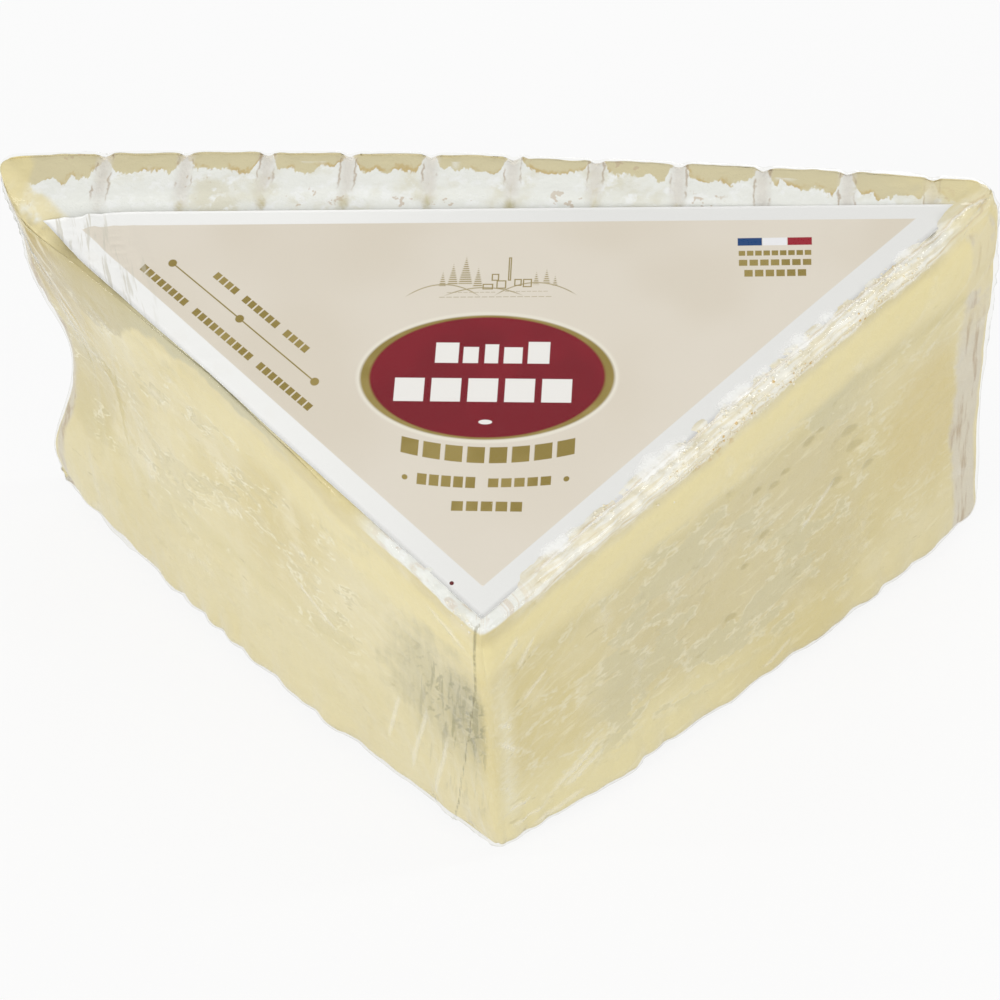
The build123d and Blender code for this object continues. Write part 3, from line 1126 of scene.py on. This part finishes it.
    # painted shade along fine pinched fold lines across the wing, under the gathered film
    fold_line_shade = m.grain((u + 0.36 * v, v * 0.1, 0.0), 0.8, 3, 0.6)
    wing = u * float(left_out[0]) + v * float(left_out[1]) - float(rear_left @ left_out)
    wing = wing.ramp(-6.5, -3.5) * u.ramp(-38, -47)
    colour = colour.lay(206, 202, 188, fold_line_shade.ramp(0.52, 0.64) * wing * 0.7)

    # painted highlight: pale streaks of the film's sheen over the beige near the left border
    film_sheen_streaks = m.grain((u * 0.9 + v * 0.3, v * 0.5, 0.0), 3.0, 3, 0.6, 0.8)
    near_left = (u * float(left_out[0]) + v * float(left_out[1])).ramp(18, 30) * u.ramp(-14, -24)
    colour = colour.lay(234, 230, 222, film_sheen_streaks.ramp(0.54, 0.64) * near_left * 0.5)

    grain = m.grain(here, 0.5, 3, 0.6)
    waves = m.grain(here, 9, 2)
    relief = m.bump(grain * 0.12 + waves, 0.0003, 0.35)
    matt = {"Roughness": 0.55, "Specular_IOR_Level": 0.2}
    return m.finish(m.surface(Base_Color=colour, Normal=relief, **matt))


# ---------------------------------------------------------------- clear film


def film_material():
    m = Shade(bpy.data.materials.new("clear film"))
    here = m.place_mm()
    _, _, z, run, right, below, inset, _ = measures(m)
    crease = m.fact("crease")
    lap = m.fact("seam")

    waves = m.grain(here, 5.0, 2, 0.5)
    fine = m.grain(here, 1.4, 2, 0.6)
    lines = m.grain((run * 0.25, z, right * 30), 1.1, 2, 0.5)
    height = waves + fine * 0.18 + lines * 0.25
    relief = m.bump(height, 0.0006, 0.5)

    cloud = m.grain(here, 7.5, 3, 0.65)
    on_top = below.ramp(1.2, 0.6)
    # milky haze of the film, to which painted highlights are added below
    haze_and_highlights = cloud.ramp(0.58, 0.74) * 0.12 * (1 - on_top)
    # painted highlight: white along the drawn creases
    haze_and_highlights = haze_and_highlights + crease.ramp(0.3, 1.0) * 0.24
    stripe = (1 - abs(run - 2.2) / 1.8).held() * right * below.ramp(12, 18) * z.ramp(4, 10)
    haze_and_highlights = haze_and_highlights + stripe * 0.07
    # painted highlight: a white sheen of pulled streaks where the film gathers at the left rear
    pulled = m.grain((run * 0.9 + below * 0.5, below * 0.12, 9.0), 1.7, 2, 0.6)
    gathered = run.ramp(76, 84) * (1 - right) * below.ramp(1.5, 4) * below.ramp(30, 18)
    haze_and_highlights = haze_and_highlights + pulled.ramp(0.53, 0.66) * gathered * 0.45
    foot = z.ramp(2.2, 0.6) * 0.16
    # painted highlights: white pools beside the right rim, where air under the film would catch the
    # light, and a white line near the rim
    pools = [
        (14.0, 3.4, 1.2), (30.5, 5.2, 1.7), (43.0, 3.2, 1.1), (47.5, 1.8, 1.0), (53.0, 3.0, 1.5),
        (58.6, 1.6, 1.2), (72.0, 2.2, 0.9),
    ]
    jagged = (m.grain((run, inset * 0.45, 0.0), 2.4, 4, 0.62) - 0.5) * 3.0
    pool = greatest(
        [1 - ((run - at) / half) ** 2 - ((inset - 1.6) / wide) ** 2 for at, half, wide in pools]
    )
    pool = (pool + jagged).ramp(-0.1, 1.2) * right * on_top
    edge_line = (1 - abs(inset - 0.7 + jagged * 0.25) / 0.28).held() * on_top * right
    haze_and_highlights = haze_and_highlights + pool * 0.85 + edge_line * 0.5 * run.ramp(8, 14)
    haze_and_highlights = (haze_and_highlights + foot).lesser(0.88)
    facing = m.node("ShaderNodeLayerWeight", {}, Blend=0.5, Normal=relief, out="Facing")
    clear = m.node("ShaderNodeBsdfTransparent", {}, Color=(0.985, 0.985, 0.975, 1))
    milky_white_and_highlights = m.node("ShaderNodeBsdfDiffuse", {}, Color=tint(248, 248, 244), Normal=relief)
    tinted = m.node("ShaderNodeBsdfTransparent", {}, Color=(0.6, 0.6, 0.54, 1))
    clear = m.blend(facing**7 * (0.6 - 0.5 * on_top), clear, tinted)
    veil = m.blend(haze_and_highlights, clear, milky_white_and_highlights)
    dark = m.node("ShaderNodeBsdfDiffuse", {}, Color=tint(132, 128, 98))
    lap = lap.ramp(0.74, 1.0) * (0.22 + fine.ramp(0.35, 0.6) * 0.38)
    veil = m.blend(lap, veil, dark)
    shine = m.node("ShaderNodeBsdfGlossy", {}, Color=(1, 1, 1, 1), Roughness=0.07, Normal=relief)
    inner_side = m.node("ShaderNodeNewGeometry", {}, out="Backfacing")
    gleam = (facing**4 * 0.45 + 0.013) * (1 - inner_side)
    shader = m.blend(gleam, veil, shine)
    return m.finish(shader)


cheese.data.materials.append(cheese_material())
label.data.materials.append(label_material())
film.data.materials.append(film_material())
film.visible_shadow = False
film.visible_diffuse = False
film.visible_glossy = False


# ---------------------------------------------------------------- scattered crumbs


def crumb_tree():
    """Geometry nodes that scatter small lumps where the skin is crumbly."""
    tree = bpy.data.node_groups.new("scattered crumbs", "GeometryNodeTree")
    kinds = {
        "Skin": "Geometry",
        "Density": "Float",
        "Smallest": "Float",
        "Largest": "Float",
        "Seed": "Int",
        "Finish": "Material",
    }
    for name, kind in kinds.items():
        tree.interface.new_socket(name=name, in_out="INPUT", socket_type="NodeSocket" + kind)
    tree.interface.new_socket(name="Crumbs", in_out="OUTPUT", socket_type="NodeSocketGeometry")

    m = Shade(tree)
    given = tree.nodes.new("NodeGroupInput").outputs
    skin, density, smallest, largest, seed, finish = [Value(m, given[name]) for name in kinds]
    number = {"data_type": "FLOAT"}
    crumbly = m.node("GeometryNodeInputNamedAttribute", number, "crumbly", out="Attribute")
    spread = {"Mesh": skin, "Density": crumbly * density, "Seed": seed}
    points = m.node(
        "GeometryNodeDistributePointsOnFaces", {"distribute_method": "RANDOM"}, **spread
    )
    lump = m.node("GeometryNodeMeshIcoSphere", {}, Radius=1.0, Subdivisions=2)
    rough = m.node("ShaderNodeTexNoise", {}, Scale=0.9, Detail=2.0, out="Color")
    shove = m.node("ShaderNodeVectorMath", {"operation": "SUBTRACT"}, rough, (0.5, 0.5, 0.5))
    grow = m.node("ShaderNodeVectorMath", {"operation": "SCALE"}, shove, Scale=1.7)
    shaped = m.node("GeometryNodeSetPosition", {}, Geometry=lump, Offset=grow)
    nil, whole, round_about = (0, 0, 0), (1, 1, 1), (6.28, 6.28, 6.28)
    chance = "FunctionNodeRandomValue"
    turn = m.node(chance, {"data_type": "FLOAT_VECTOR"}, nil, round_about, Seed=5)
    size = m.node(chance, number, nil, whole, smallest, largest, Seed=8, out=1)
    tone = m.node(chance, number, Seed=13, out=1)
    laid = {"Points": points, "Instance": shaped, "Rotation": turn, "Scale": size}
    placed = m.node("GeometryNodeInstanceOnPoints", {}, **laid)
    noted = m.node(
        "GeometryNodeStoreNamedAttribute",
        {"data_type": "FLOAT", "domain": "INSTANCE"},
        Geometry=placed,
        Name="tone",
        Value=tone,
    )
    real = m.node("GeometryNodeRealizeInstances", {}, Geometry=noted)
    painted = m.node("GeometryNodeSetMaterial", {}, Geometry=real, Material=finish)
    return m.finish(painted, "NodeGroupOutput")


def scatter_crumbs():
    tree = crumb_tree()
    bed = show("crumb_bed", cheese.data.copy())
    fall = bed.modifiers.new("crumbs", "NODES")
    fall.node_group = tree
    keys = {item.name: item.identifier for item in tree.interface.items_tree}
    fall[keys["Density"]] = 3.0e6
    fall[keys["Smallest"]] = 0.07 * MM
    fall[keys["Largest"]] = 0.21 * MM
    fall[keys["Seed"]] = 11
    fall[keys["Finish"]] = crumb_material()
    ready = bed.evaluated_get(bpy.context.evaluated_depsgraph_get())
    data = bpy.data.meshes.new_from_object(ready)
    bpy.data.objects.remove(bed)
    data.name = "rind_crumbs"
    piece = show("rind_crumbs", data)
    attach(piece, "root")


scatter_crumbs()


# ---------------------------------------------------------------- floor, light and camera


def floor_material():
    m = Shade(bpy.data.materials.new("pale floor"))
    matt = m.node("ShaderNodeBsdfDiffuse", {}, (0.82, 0.82, 0.82, 1))
    glow = m.node("ShaderNodeEmission", {}, (1, 1, 1, 1), 1.0)
    return m.finish(m.blend(m.seen_straight() * 0.86, matt, glow))


def plain_floor():
    size = 6.0
    data = bpy.data.meshes.new("floor")
    ring = [(-size, -size, 0), (size, -size, 0), (size, size, 0), (-size, size, 0)]
    data.from_pydata(ring, [], [(0, 1, 2, 3)])
    floor = show("floor", data)
    floor.location.z = start_bounds[0].z - 0.0002
    data.materials.append(floor_material())


def soft_box(name, at, size, power):
    lamp = bpy.data.lights.new(name, "AREA")
    lamp.shape = "RECTANGLE"
    lamp.size, lamp.size_y = size
    lamp.energy = power
    holder = show(name, lamp)
    holder.location = at
    aim = Vector((0.0, 0.0, 0.03)) - Vector(at)
    holder.rotation_euler = aim.to_track_quat("-Z", "Y").to_euler()


def sky():
    m = Shade(bpy.data.worlds.new("studio"))
    soft = m.node("ShaderNodeBackground", {}, (1, 1, 1, 1), 0.47)
    white = m.node("ShaderNodeBackground", {}, (1, 1, 1, 1), 1.0)
    seen = m.blend(m.seen_straight(), soft, white)
    bpy.context.scene.world = m.finish(seen, "ShaderNodeOutputWorld")


def camera():
    yaw, pitch, roll = (math.radians(a) for a in (8.629, 45.378, -4.106))
    away = Vector(
        (math.sin(yaw) * math.cos(pitch), -math.cos(yaw) * math.cos(pitch), math.sin(pitch))
    )
    right = (-away).cross(Vector((0, 0, 1))).normalized()
    above = right.cross(-away)
    level_right = right * math.cos(roll) + above * math.sin(roll)
    level_up = above * math.cos(roll) - right * math.sin(roll)
    data = bpy.data.cameras.new("camera")
    data.sensor_width = 36
    data.lens = 108
    data.clip_start, data.clip_end = 0.01, 50
    holder = show("camera", data)
    turn = Matrix((level_right, level_up, away)).transposed()
    place = Vector((2.706, 0.744, 30.0)) * MM + away * 389.32 * MM
    holder.matrix_world = Matrix.Translation(place) @ turn.to_4x4()
    bpy.context.scene.camera = holder


plain_floor()
sky()
soft_box("key", (-0.62, -0.72, 0.42), (0.55, 0.5), 4.4)
soft_box("fill", (0.8, -0.62, 0.4), (0.5, 0.4), 3.1)
soft_box("overhead_strip", (0.42, 0.1, 0.72), (0.05, 0.5), 0.9)
soft_box("left_strip", (-0.6, -0.1, 0.5), (0.05, 0.5), 0.5)
soft_box("rear", (0.15, 0.95, 0.35), (0.6, 0.4), 2.6)
soft_box("low_strip", (0.5, -0.7, 0.16), (0.4, 0.04), 0.35)
camera()
bpy.context.scene.view_settings.view_transform = "Standard"
